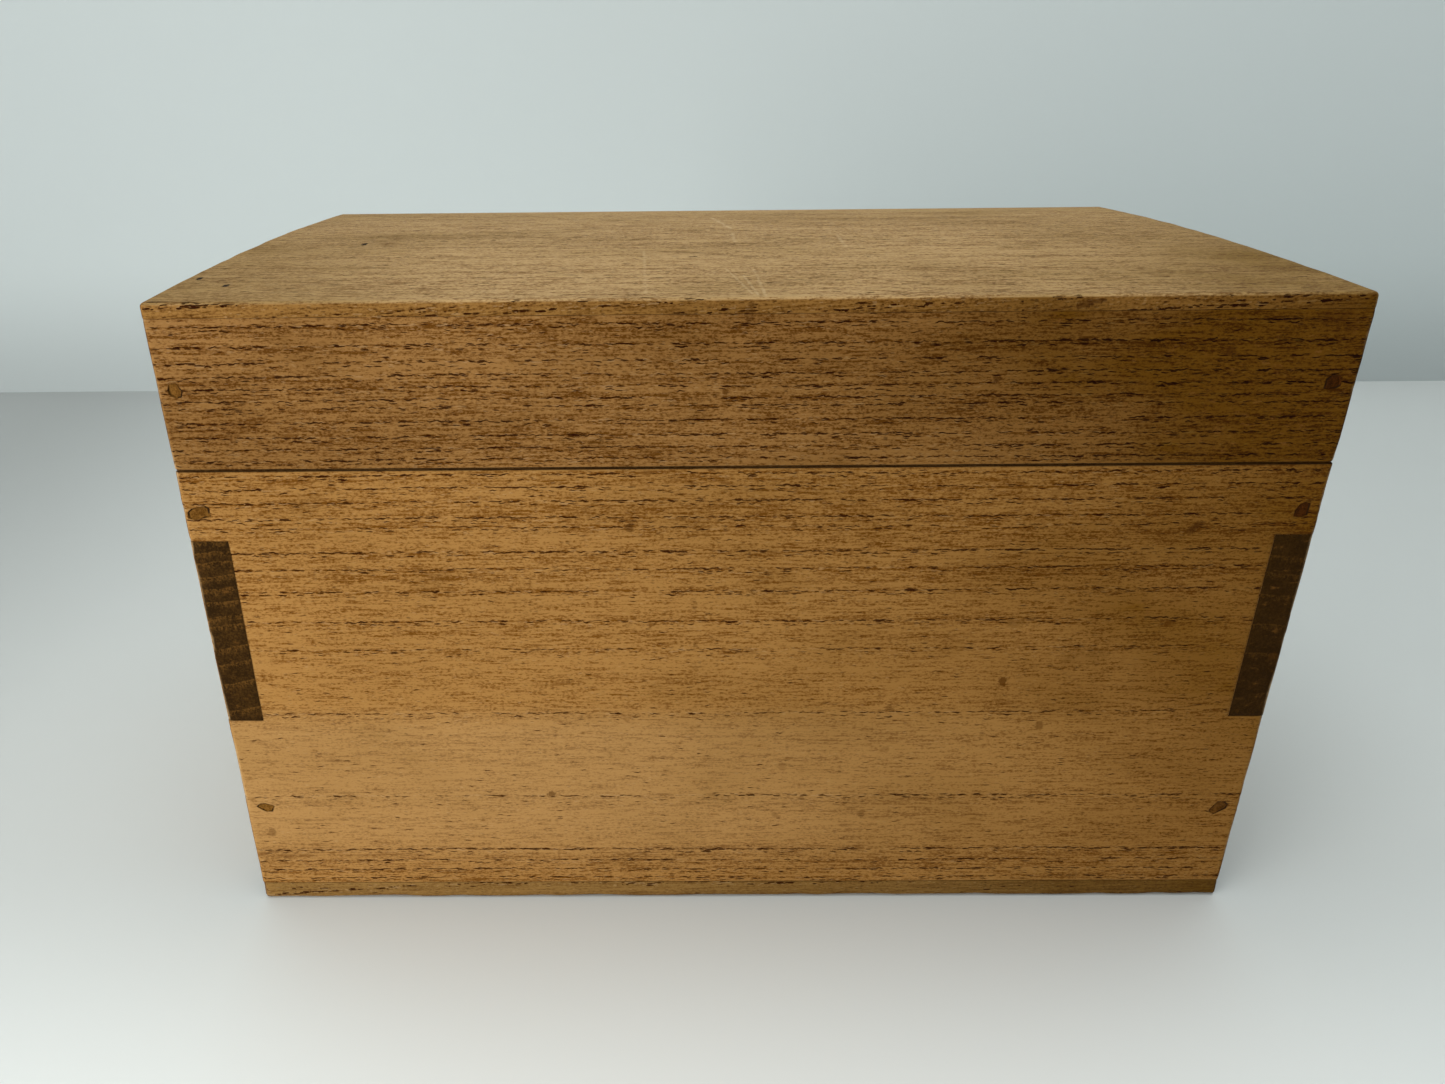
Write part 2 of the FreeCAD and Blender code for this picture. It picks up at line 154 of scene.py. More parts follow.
def wear_tree():
    """Build the tree that wears a board: it takes the box's outer arrises back unevenly,
    opens a hair's breadth along joints, and marks arrises, joints and end grain."""
    tree, given, result = new_group("Worn board", "GeometryNodeTree", {
        "Board": ("shape", None),
        "Half Width": ("number", 0.1),
        "Half Depth": ("number", 0.1),
        "Height": ("number", 0.1),
        "Arris Wear": ("number", 0.28 * MM),
        "Arris Reach": ("number", 1.6 * MM),
        "Joint Gap": ("number", 0.08 * MM),
        "Joint Reach": ("number", 0.6 * MM),
        "Ripple": ("number", 110.0),
        "Seed": ("number", 0.0),
        "Grain": ("vector", (1, 0, 0)),
        "Finish": ("material", None),
    }, {"Board": "shape"})
    place = node(tree, "GeometryNodeInputPosition").outputs[0]
    x, y, z = node(tree, "ShaderNodeSeparateXYZ", {0: place}).outputs[:]
    above_middle = maths(tree, "SUBTRACT", z, maths(tree, "MULTIPLY", given["Height"], 0.5))
    inset, pull = [], []
    for away, half in ((x, given["Half Width"]), (y, given["Half Depth"]),
                       (above_middle, maths(tree, "MULTIPLY", given["Height"], 0.5))):
        depth = maths(tree, "SUBTRACT", half, maths(tree, "ABSOLUTE", away))
        inset.append(depth)
        near = ramp(tree, depth, 0.0, given["Arris Reach"], 1.0, 0.0)
        pull.append(maths(tree, "MULTIPLY", near, maths(tree, "SIGN", away)))
    # the second smallest of the three depths is the distance from the nearest outer arris
    second = maths(tree, "MAXIMUM", maths(tree, "MINIMUM", inset[0], inset[1]),
                   maths(tree, "MINIMUM", maths(tree, "MAXIMUM", inset[0], inset[1]), inset[2]))
    near_arris = ramp(tree, second, 0.0, given["Arris Reach"], 1.0, 0.0)
    rough = noise(tree, place, given["Ripple"], 3.0, 0.6, W=given["Seed"])
    worn = maths(tree, "MULTIPLY", near_arris, ramp(tree, rough, 0.36, 0.68, 0.12, 1.0))
    inward = vectors(tree, "NORMALIZE", node(
        tree, "ShaderNodeCombineXYZ", dict(enumerate(pull))).outputs[0])
    back = scaled(tree, inward, maths(tree, "MULTIPLY", worn, maths(
        tree, "MULTIPLY", given["Arris Wear"], -1.0)))

    angle = node(tree, "GeometryNodeInputMeshEdgeAngle").outputs["Unsigned Angle"]
    sharp = maths(tree, "GREATER_THAN", angle, SHARP)
    edges = node(tree, "GeometryNodeSeparateGeometry",
                 {"Geometry": given["Board"], "Selection": sharp}, domain="EDGE").outputs[0]
    reach = node(tree, "GeometryNodeProximity", {0: edges}, target_element="EDGES")
    near_joint = ramp(tree, reach.outputs["Distance"], 0.0, given["Joint Reach"], 1.0, 0.0)
    normal = node(tree, "GeometryNodeInputNormal").outputs[0]
    depth = maths(tree, "MULTIPLY", near_joint, ramp(tree, rough, 0.3, 0.7, 0.4, 1.3))
    gap = scaled(tree, normal, maths(tree, "MULTIPLY", depth, maths(
        tree, "MULTIPLY", given["Joint Gap"], -1.0)))

    shape = given["Board"]
    facing = maths(tree, "ABSOLUTE", vectors(tree, "DOT_PRODUCT", normal, given["Grain"]))
    upward = node(tree, "ShaderNodeSeparateXYZ", {0: normal}).outputs["Z"]
    for name, domain, value in (("arris", "POINT", worn), ("joint", "POINT", near_joint),
                                ("upward", "FACE", upward),
                                ("end_grain", "FACE", ramp(tree, facing, 0.5, 0.9))):
        shape = node(tree, "GeometryNodeStoreNamedAttribute",
                     {"Geometry": shape, "Name": name, "Value": value},
                     data_type="FLOAT", domain=domain).outputs[0]
    shape = node(tree, "GeometryNodeSetShadeSmooth",
                 {"Geometry": shape, "Shade Smooth": True}, domain="FACE").outputs[0]
    soft = maths(tree, "LESS_THAN", angle, SHARP)
    shape = node(tree, "GeometryNodeSetShadeSmooth",
                 {"Geometry": shape, "Shade Smooth": soft}, domain="EDGE").outputs[0]
    shape = node(tree, "GeometryNodeSetPosition",
                 {"Geometry": shape, "Offset": vectors(tree, "ADD", back, gap)}).outputs[0]
    shape = node(tree, "GeometryNodeRealizeInstances", {0: shape}).outputs[0]
    shape = node(tree, "GeometryNodeSetMaterial",
                 {"Geometry": shape, "Material": given["Finish"]}).outputs[0]
    tree.links.new(shape, result[0])
    return tree


worn_board = wear_tree()
NET_STEP = 5.0 * MM
RINGS = (0.3 * MM, 0.8 * MM, 1.6 * MM)
FLAT = math.radians(0.4)
TOUCHING = 1e-6
HEAD_SPAN = 7.0 * MM


def cuts_along(low, high, joints):
    """List where a net is cut: even steps, closer by the ends and by each joint."""
    steps = max(1, round((high - low) / NET_STEP))
    cuts = {round(low + (high - low) * step / steps, 7) for step in range(1, steps)}
    for edge in (low, high, *joints):
        for ring in RINGS:
            cuts.update((round(edge - ring, 7), round(edge + ring, 7)))
    return sorted(cut for cut in cuts if low + TOUCHING < cut < high - TOUCHING)


def nail_edges(node_name, outward):
    """Find how far the nail heads of a CAD node reach along each axis, in an outer face."""
    corners = [corner.co for corner in frame["nodes"][node_name].data.vertices]
    face = max(corner.dot(outward) for corner in corners)
    heads = []
    for corner in sorted((c for c in corners if face - c.dot(outward) < TOUCHING),
                         key=lambda c: (c.x + c.y, c.z)):
        near = [head for head in heads if (head[0] - corner).length < HEAD_SPAN]
        if near:
            near[0].append(corner)
        else:
            heads.append([corner])
    return [sorted({end([c[axis] for c in head]) for head in heads for end in (min, max)})
            for axis in range(3)]


def merged(node_name):
    """Copy a CAD node's mesh into a net, merged, with its flat faces whole."""
    net = bmesh.new()
    net.from_mesh(frame["nodes"][node_name].data)
    bmesh.ops.remove_doubles(net, verts=net.verts, dist=TOUCHING)
    bmesh.ops.dissolve_limit(net, angle_limit=FLAT, verts=net.verts, edges=net.edges)
    return net


def plain_mesh(name, net):
    """Turn a net into a mesh of its corners and faces alone."""
    net.verts.index_update()
    mesh = bpy.data.meshes.new(name)
    mesh.from_pydata([corner.co[:] for corner in net.verts], [],
                     [[corner.index for corner in face.verts] for face in net.faces])
    net.free()
    return mesh


def netted(node_name, joints=((), (), ())):
    """Copy a CAD node's mesh and cut it into a net that can take wear."""
    net = merged(node_name)
    bmesh.ops.connect_verts_concave(net, faces=net.faces)
    low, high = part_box(node_name)
    for axis, direction in enumerate(Matrix.Identity(3)):
        for cut in cuts_along(low[axis], high[axis], joints[axis]):
            bmesh.ops.bisect_plane(net, geom=net.verts[:] + net.edges[:] + net.faces[:],
                                   plane_co=direction * cut, plane_no=direction, dist=TOUCHING)
    return plain_mesh(node_name, net)


def through_tree(name, mesh, tree, inputs):
    """Run a mesh through a geometry tree and keep the result as a plain object."""
    piece = bpy.data.objects.new(name, mesh)
    bpy.context.scene.collection.objects.link(piece)
    modifier = piece.modifiers.new(tree.name, "NODES")
    modifier.node_group = tree
    for item in tree.interface.items_tree:
        if item.in_out == "INPUT" and item.name in inputs:
            modifier[item.identifier] = inputs[item.name]
    graph = bpy.context.evaluated_depsgraph_get()
    made = bpy.data.meshes.new_from_object(
        piece.evaluated_get(graph), preserve_all_data_layers=True, depsgraph=graph)
    piece.modifiers.clear()
    piece.data = made
    made.name = name
    return piece


def board(name, node_name, body, slot, finish, grain, joints=((), (), ()), **wear):
    """Make the worn board that stands for a CAD node, on its body, in its finish."""
    piece = through_tree(name, netted(node_name, joints), worn_board, {
        "Half Width": cad_high.x, "Half Depth": cad_high.y, "Height": cad_high.z,
        "Seed": float(len(bpy.data.objects)), "Grain": grain, "Finish": finish,
    } | {label.replace("_", " "): value for label, value in wear.items()})
    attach(piece, body)
    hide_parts(node_name)
    return piece


# Heights of the growth rings on the front of the box, from the lid down, in mm
RING_HEIGHTS = (150.0, 147.0, 142.9, 139.6, 136.8, 134.3, 131.8, 130.3, 127.1, 123.9, 121.3,
                118.9, 115.4, 112.5, 109.3, 105.6, 103.5, 97.6, 93.5, 88.1, 80.6, 73.4, 56.2,
                32.4, 15.9, 12.6, 9.7, 7.1, 3.5)
RING_SPAN = 160.0
STEP_DOWN = 0.5
YEARS = len(RING_HEIGHTS) + 1


def growth_rings():
    """Build the group that tells how many years lie between the top ring and a point.
    Position is in mm: x along the grain, y through the board, z across it."""
    group, given, result = new_group("Growth rings", "ShaderNodeTree", {
        "Position": ("vector", (0, 0, 0)),
        "Tilt": ("number", 0.0),
        "Shift": ("number", 0.0),
        "Waviness": ("number", 1.0),
    }, {"Years": "number", "Depth": "number", "Width": "number"})
    along, through, across = node(
        group, "ShaderNodeSeparateXYZ", {0: given["Position"]}).outputs[:]
    slow = vectors(group, "MULTIPLY", given["Position"], (0.009, 0.03, 0.02))
    quick = vectors(group, "MULTIPLY", given["Position"], (0.07, 0.2, 0.1))
    wave = maths(group, "ADD",
                 maths(group, "MULTIPLY", maths(
                     group, "SUBTRACT", noise(group, slow, 1.0, 1.0), 0.5), 4.0),
                 maths(group, "MULTIPLY", maths(
                     group, "SUBTRACT", noise(group, quick, 1.0, 1.0), 0.5), 1.1))
    height = maths(group, "ADD", maths(group, "ADD", across, given["Shift"]), maths(
        group, "ADD", maths(group, "MULTIPLY", through, given["Tilt"]),
        maths(group, "MULTIPLY", wave, given["Waviness"])))
    counted = []
    # the years that a short step down crosses tell how wide the ring is
    for lower in (0.0, STEP_DOWN):
        folded = maths(group, "PINGPONG", maths(group, "SUBTRACT", height, lower), RING_SPAN)
        curve = node(group, "ShaderNodeFloatCurve", {"Value": maths(
            group, "DIVIDE", folded, RING_SPAN)})
        points = curve.mapping.curves[0].points
        points[0].location = (0.0, 0.0)
        points[1].location = (1.0, 1.0)
        for year, ring in enumerate(RING_HEIGHTS, start=1):
            points.new(ring / RING_SPAN, 1 - year / YEARS)
        for point in points:
            point.handle_type = "VECTOR"
        curve.mapping.update()
        counted.append(maths(group, "MULTIPLY", maths(
            group, "SUBTRACT", 1.0, curve.outputs[0]), float(YEARS)))
    years, years_lower = counted
    grown = maths(group, "ABSOLUTE", maths(group, "SUBTRACT", years_lower, years))
    width = maths(group, "DIVIDE", STEP_DOWN, maths(group, "MAXIMUM", grown, 0.02))
    group.links.new(years, result["Years"])
    group.links.new(width, result["Width"])
    group.links.new(maths(group, "MULTIPLY", maths(group, "FRACT", years), width),
                    result["Depth"])
    return group


FILLED = (0.62, 0.45, 0.26, 1)
HALO = (0.09, 0.02, 0.0006, 1)
PORE_SIZE = (2.1, 0.36, 0.26)
FINE_PORE_SIZE = (1.3, 0.3, 0.2)


def paulownia():
    """Build the group for the wood itself: rings of open pores drawn out into short dark
    grooves, a browner band of early wood below each, and fine fibre streaks. On end grain
    the rows of pores show pale. Position and the sizes of pores are in mm."""
    group, given, result = new_group("Paulownia", "ShaderNodeTree", {
        "Position": ("vector", (0, 0, 0)),
        "End Grain": ("number", 0.0),
        "Tilt": ("number", 0.0),
        "Shift": ("number", 0.0),
        "Waviness": ("number", 1.0),
        "Pores": ("number", 1.0),
        "Fine Pores": ("number", 0.2),
        "Banding": ("number", 1.0),
        "Streaks": ("number", 1.0),
        "Pale": ("colour", (0.4, 0.22, 0.08, 1)),
        "Brown": ("colour", (0.2, 0.09, 0.02, 1)),
        "Groove": ("colour", (0.03, 0.013, 0.004, 1)),
        "End": ("colour", (0.06, 0.027, 0.008, 1)),
        "End Rows": ("colour", (0.11, 0.049, 0.009, 1)),
    }, {"Color": "colour", "Roughness": "number", "Height": "number"})

    def growth_at(place):
        return node(group, "ShaderNodeGroup", {
            "Position": place, "Tilt": given["Tilt"], "Shift": given["Shift"],
            "Waviness": given["Waviness"]}, node_tree=growth_rings_group).outputs

    def noise_at(place, along, across, detail, roughness):
        return noise(group, vectors(group, "MULTIPLY", place, (along, across, across)),
                     1.0, detail, roughness)

    def share(value, amount, middle=0.5):
        return maths(group, "MULTIPLY", maths(group, "SUBTRACT", value, middle), amount)

    growth = growth_at(given["Position"])
    clouds = noise_at(given["Position"], 0.1, 0.22, 3.0, 0.6)
    year_tone = node(group, "ShaderNodeTexWhiteNoise", {
        "W": maths(group, "FLOOR", growth["Years"])}, noise_dimensions="1D").outputs[0]
    streak = noise_at(given["Position"], 0.01, 0.5, 5.0, 0.68)
    fibre = noise_at(given["Position"], 0.13, 1.7, 3.0, 0.75)
    grit = noise_at(given["Position"], 1.1, 2.2, 2.0, 0.7)
    early = maths(group, "POWER", ramp(group, growth["Depth"], 0.0, 5.0, 1.0, 0.0), 1.4)
    wide = ramp(group, growth["Width"], 5.0, 14.0)
    band = maths(group, "MULTIPLY", early, given["Banding"])
    brown = maths(group, "MULTIPLY", band, maths(group, "MULTIPLY", ramp(
        group, streak, 0.3, 0.75), 0.28))
    lines = maths(group, "ADD", share(streak, 1.0), maths(
        group, "ADD", share(fibre, 2.5), share(grit, 2.2)))
    brown = maths(group, "ADD", brown, maths(group, "MULTIPLY", lines, given["Streaks"]))
    brown = maths(group, "ADD", brown, maths(group, "SUBTRACT", share(year_tone, 0.16), maths(
        group, "MULTIPLY", wide, 0.12)))
    colour = blend(group, maths(group, "ADD", brown, 0.25, clamp=True),
                   given["Pale"], given["Brown"])

    # Pores: long thin cells. Where in its ring a cell grew decides whether it is an open
    # groove, a filled and pale pore, or plain wood
    wander = noise_at(given["Position"], 0.9, 0.6, 1.0, 0.5)
    bent = vectors(group, "ADD", given["Position"], node(
        group, "ShaderNodeCombineXYZ", {2: maths(group, "MULTIPLY", wander, 0.6)}).outputs[0])
    cells = node(group, "ShaderNodeTexVoronoi", {
        "Vector": vectors(group, "DIVIDE", bent, PORE_SIZE), "Scale": 1.0},
        voronoi_dimensions="3D", feature="F1")
    centre = vectors(group, "MULTIPLY", cells.outputs["Position"], PORE_SIZE)
    born = growth_at(centre)["Depth"]
    pick, width, tone = node(
        group, "ShaderNodeSeparateColor", {0: cells.outputs["Color"]}).outputs[:]
    clusters = noise_at(centre, 0.07, 0.3, 3.0, 0.6)
    first_row = ramp(group, born, 0.2, 0.5, 1.0, 0.0)
    second_row = maths(group, "MULTIPLY", ramp(group, born, 0.7, 0.9), ramp(
        group, born, 1.0, 1.3, 0.25, 0.0))
    rows = maths(group, "MULTIPLY", maths(group, "ADD", first_row, second_row), maths(
        group, "MULTIPLY", ramp(group, clusters, 0.36, 0.54, 0.2, 1.0),
        ramp(group, growth["Width"], 6.0, 16.0, 1.0, 0.7)))
    chance = maths(group, "ADD", rows, ramp(group, born, 0.8, 5.0, 0.035, 0.015))
    chance = maths(group, "MULTIPLY", chance, given["Pores"])
    open_pore = maths(group, "LESS_THAN", pick, chance)
    pale_pore = maths(group, "SUBTRACT", maths(group, "LESS_THAN", pick, maths(
        group, "MULTIPLY", chance, 1.5)), open_pore)
    size = maths(group, "ADD", 0.31, maths(group, "MULTIPLY", maths(
        group, "MULTIPLY", width, ramp(group, born, 0.6, 2.0, 1.0, 0.2)), 0.45))
    inside = ramp(group, cells.outputs["Distance"], maths(group, "MULTIPLY", size, 0.85), size,
                  1.0, 0.0)
    groove = maths(group, "MULTIPLY", inside, open_pore)
    colour = blend(group, maths(group, "MULTIPLY", maths(group, "MULTIPLY", inside, pale_pore),
                                0.5), colour, blend(group, 0.3, given["Pale"], FILLED))
    halo = maths(group, "MULTIPLY", open_pore, ramp(
        group, cells.outputs["Distance"], 0.3, 0.85, 0.5, 0.0))
    colour = blend(group, halo, colour, HALO)
    depth = maths(group, "MULTIPLY", groove, maths(
        group, "ADD", 0.82, maths(group, "MULTIPLY", tone, 0.18)))
    # Fine pores: short hair-thin cells all over, some dark and some filled and pale
    fine_cells = node(group, "ShaderNodeTexVoronoi", {
        "Vector": vectors(group, "DIVIDE", bent, FINE_PORE_SIZE), "Scale": 1.0},
        voronoi_dimensions="3D", feature="F1")
    fine_pick, fine_tone, _ = node(group, "ShaderNodeSeparateColor", {
        0: fine_cells.outputs["Color"]}).outputs[:]
    fine_chance = maths(group, "MULTIPLY", maths(group, "ADD", 0.35, early), given["Fine Pores"])
    fine = maths(group, "MULTIPLY", maths(group, "LESS_THAN", fine_pick, fine_chance), ramp(
        group, fine_cells.outputs["Distance"], 0.25, 0.5, 0.5, 0.0))
    filled = maths(group, "LESS_THAN", fine_tone, 0.5)
    colour = blend(group, maths(group, "MULTIPLY", fine, filled), colour,
                   blend(group, 0.35, given["Pale"], FILLED))
    fine = maths(group, "MULTIPLY", fine, maths(group, "SUBTRACT", 1.0, filled))
    face = blend(group, maths(group, "MAXIMUM", depth, fine), colour, given["Groove"])

    # End grain: brown, with the rows of pores paler than the wood between them
    teeth = noise(group, vectors(group, "MULTIPLY", given["Position"], (0.4, 1.1, 0.35)),
                  1.0, 3.0, 0.75)
    hang = maths(group, "ADD", growth["Depth"], share(teeth, 5.5))
    rows = maths(group, "MULTIPLY", ramp(group, hang, 0.1, 1.5, 0.75, 0.0), ramp(
        group, grit, 0.38, 0.58, 0.2, 1.0))
    rows = maths(group, "ADD", rows, maths(group, "ADD", share(grit, 1.4, 0.45), share(
        clouds, 0.8, 0.42)), clamp=True)
    end = blend(group, rows, given["End"], given["End Rows"])
    colour = blend(group, given["End Grain"], face, end)

    group.links.new(colour, result["Color"])
    group.links.new(maths(group, "ADD", 0.56, maths(group, "ADD", maths(
        group, "MULTIPLY", groove, 0.25), maths(group, "MULTIPLY", fibre, 0.14))),
        result["Roughness"])
    relief = maths(group, "SUBTRACT", maths(group, "MULTIPLY", fibre, 0.22), groove)
    relief = maths(group, "SUBTRACT", relief, maths(group, "ADD", maths(
        group, "MULTIPLY", halo, 0.12), maths(group, "MULTIPLY", fine, 0.5)))
    group.links.new(relief, result["Height"])
    return group


SEAM = 116.4 * MM
NO_SEAM = -100.0
SHADE_AND_MOTTLE = (0.35, 0.285, 0.068, 1)
STAIN = (0.16, 0.066, 0.012, 1)
SPECK = (0.085, 0.028, 0.002, 1)


def handling():
    """Build the group for wear, browning and painted shade: darker towards the right and less so
    low down, partly browning and partly painted shade; darker at the ends, most towards the
    front, partly browning with use and partly painted shade; mottled, with rust-brown specks,
    paler where arrises have rubbed, darker where grime sits in the joints, and a dark line
    painted as shade along the cut between lid and body. Position and Seam, the height of that
    cut, are in mm."""
    group, given, result = new_group("Age and handling", "ShaderNodeTree", {
        "Color": ("colour", (0.5, 0.5, 0.5, 1)),
        "Position": ("vector", (0, 0, 0)),
        "Arris": ("number", 0.0),
        "Joint": ("number", 0.0),
        "Upward": ("number", 0.0),
        "Seam": ("number", SEAM / MM),
        "Joint Dirt": ("number", 0.25),
        "Shaded Side": ("number", 0.0),
        "Dark Ends": ("number", 0.0),
        "Mottle": ("number", 0.2),
        "Specks": ("number", 0.5),
        "Rubbed": ("colour", (0.5, 0.33, 0.16, 1)),
        "Dirt And Seam Shade": ("colour", (0.016, 0.007, 0.002, 1)),
    }, {"Color": "colour"})
    place = given["Position"]
    x, y, z = node(group, "ShaderNodeSeparateXYZ", {0: place}).outputs[:]
    cloud = noise(group, vectors(group, "MULTIPLY", place, (0.016, 0.03, 0.03)), 1.0, 4.0, 0.55)
    # Painted shade, partly browning: darker towards the right, where less light falls, and less
    # so low down, where more light comes up from the floor
    side = maths(group, "ADD", x, maths(group, "MULTIPLY", maths(
        group, "SUBTRACT", cloud, 0.5), 60.0))
    higher = ramp(group, z, 10.0, 115.0, 0.55, 1.0)
    shade = maths(group, "MULTIPLY", maths(group, "MULTIPLY", maths(
        group, "ADD", ramp(group, side, -80.0, 155.0), ramp(group, side, 70.0, 130.0, 0.0, 0.3)),
        higher), given["Shaded Side"])
    # Painted shade, partly browning with use: darker at the ends of the box, most towards the
    # front
    ends = maths(group, "ADD", maths(group, "ABSOLUTE", x), maths(group, "MULTIPLY", cloud, 60.0))
    shade = maths(group, "ADD", shade, maths(group, "MULTIPLY", maths(
        group, "MULTIPLY", ramp(group, ends, 70.0, 150.0), ramp(group, y, 60.0, -70.0, 0.3, 1.2)),
        given["Dark Ends"]))
    mottle = maths(group, "MULTIPLY", ramp(group, cloud, 0.4, 0.72), given["Mottle"])
    patches = noise(group, vectors(group, "MULTIPLY", place, (0.06, 0.12, 0.12)), 1.0, 5.0, 0.65)
    smudge = maths(group, "MULTIPLY", ramp(group, patches, 0.58, 0.78), given["Mottle"])
    darker = maths(group, "ADD", maths(group, "ADD", shade, mottle), smudge, clamp=True)
    colour = blend(group, darker, given["Color"], SHADE_AND_MOTTLE, "MULTIPLY")

    stains = noise(group, vectors(group, "MULTIPLY", place, (0.3, 0.55, 0.55)), 1.0, 5.0, 0.62)
    flecks = noise(group, vectors(group, "MULTIPLY", place, (0.9, 1.4, 1.4)), 1.0, 2.0, 0.6)
    stain = maths(group, "MULTIPLY", ramp(group, stains, 0.57, 0.74), ramp(
        group, flecks, 0.35, 0.6, 0.2, 1.0))
    stain = maths(group, "MULTIPLY", stain, given["Specks"], clamp=True)
    colour = blend(group, stain, colour, STAIN)
    warped = vectors(group, "ADD", place, vectors(group, "MULTIPLY", node(
        group, "ShaderNodeTexNoise", {"Vector": place, "Scale": 0.7, "Detail": 4.0,
                                      "Roughness": 0.7}).outputs[1], (3.0, 2.0, 2.0)))
    spots = node(group, "ShaderNodeTexVoronoi", {"Vector": warped, "Scale": 0.2},
                 voronoi_dimensions="3D", feature="F1")
    pick, size, tone = node(
        group, "ShaderNodeSeparateColor", {0: spots.outputs["Color"]}).outputs[:]
    spread = maths(group, "MULTIPLY", maths(group, "POWER", size, 3.0), 0.2)
    spot = ramp(group, spots.outputs["Distance"], spread,
                maths(group, "ADD", spread, 0.1), 1.0, 0.0)
    spot = maths(group, "MULTIPLY", maths(group, "MULTIPLY", spot, given["Specks"]), maths(
        group, "LESS_THAN", pick, 0.26))
    spot = maths(group, "MULTIPLY", spot, maths(group, "ADD", 0.1, tone), clamp=True)
    colour = blend(group, spot, colour, SPECK)

    grain = noise(group, place, 0.7, 4.0, 0.7)
    rub = maths(group, "MULTIPLY", ramp(group, given["Arris"], 0.15, 0.8), ramp(
        group, grain, 0.35, 0.6, 0.2, 0.8))
    colour = blend(group, rub, colour, given["Rubbed"])
    # A dark line painted as shade in the gap along the cut between lid and body, left off faces
    # that look up
    sawn = ramp(group, maths(group, "ABSOLUTE", maths(group, "SUBTRACT", z, given["Seam"])),
                0.22, 0.42, 0.93, 0.0)
    sawn = maths(group, "MULTIPLY", sawn, ramp(group, maths(
        group, "ABSOLUTE", given["Upward"]), 0.8, 0.95, 1.0, 0.0))
    joint_dirt_and_seam_shade = maths(group, "MAXIMUM", sawn, maths(group, "MULTIPLY", ramp(
        group, given["Joint"], 0.35, 1.0), given["Joint Dirt"]))
    colour = blend(group, joint_dirt_and_seam_shade, colour, given["Dirt And Seam Shade"])
    group.links.new(colour, result["Color"])
    return group


def placed_marks(name, over, marks):
    """Build the group for marks at known places on one face. Each is a start and an end in
    mm, on the axis X and the axis named by over, a half width, a strength and a colour."""
    group, given, result = new_group(name, "ShaderNodeTree", {
        "Color": ("colour", (0.5, 0.5, 0.5, 1)),
        "Position": ("vector", (0, 0, 0)),
        "Strength": ("number", 1.0),
    }, {"Color": "colour"})
    parts = node(group, "ShaderNodeSeparateXYZ", {0: given["Position"]}).outputs
    on_face = node(group, "ShaderNodeCombineXYZ", {0: parts["X"], 1: parts[over]}).outputs[0]
    ragged = maths(group, "SUBTRACT", noise(group, given["Position"], 1.1, 4.0, 0.7), 0.5)
    uneven = maths(group, "MULTIPLY", given["Strength"], ramp(
        group, noise(group, given["Position"], 0.35, 3.0, 0.6), 0.4, 0.6, 0.45, 1.0))
    colour = given["Color"]
    for start, end, half_width, strength, tint in marks:
        first, last = Vector((*start, 0)), Vector((*end, 0))
        way = (last - first).normalized()
        from_first = vectors(group, "SUBTRACT", on_face, first)
        along = node(group, "ShaderNodeClamp", {
            "Value": vectors(group, "DOT_PRODUCT", from_first, way),
            "Min": 0.0, "Max": (last - first).length}).outputs[0]
        nearest = scaled(group, way, along)
        off = maths(group, "ADD", vectors(group, "LENGTH", vectors(
            group, "SUBTRACT", from_first, nearest)), maths(
                group, "MULTIPLY", ragged, half_width * 3.0))
        share = maths(group, "MULTIPLY", ramp(
            group, off, 0.3 * half_width, half_width, strength, 0.0), uneven)
        colour = blend(group, share, colour, tint)
    group.links.new(colour, result["Color"])
    return group


LOOKS_UP = (0.35, 0.8)
LOOKS_AHEAD = (0.35, 0.1)


def in_mm(tree, turn=(0.0, 0.0, 0.0)):
    """Return the place on the object in mm, turned."""
    place = node(tree, "ShaderNodeTexCoord").outputs["Object"]
    return node(tree, "ShaderNodeMapping", {
        "Vector": place, "Rotation": turn, "Scale": (1 / MM, 1 / MM, 1 / MM)},
        vector_type="POINT").outputs[0]


def mark_finish(finish, marks_group, looks_up=None):
    """Put marks over the colour of a finish, on all its faces or, from none to full, between
    two measures of how far a face looks up."""
    tree = finish.node_tree
    base_color = tree.nodes["Principled BSDF"].inputs["Base Color"]
    inputs = {"Color": base_color.links[0].from_socket, "Position": in_mm(tree)}
    if looks_up:
        inputs["Strength"] = ramp(tree, node(
            tree, "ShaderNodeAttribute", attribute_name="upward").outputs["Fac"], *looks_up)
    marked = node(tree, "ShaderNodeGroup", inputs, node_tree=marks_group)
    tree.links.new(marked.outputs["Color"], base_color)


growth_rings_group = growth_rings()
paulownia_group = paulownia()
wear_and_shade_group = handling()
GROOVE_DEPTH = 0.25 * MM
PALE_LIT_FOOT = (0.5, 0.31, 0.13, 1)
WOOD_IOR, WOOD_SPECULAR = 1.45, 0.04
GRAIN_ALONG_X = (0.0, 0.0, 0.0)
GRAIN_ALONG_Y = (0.0, 0.0, math.radians(-90))


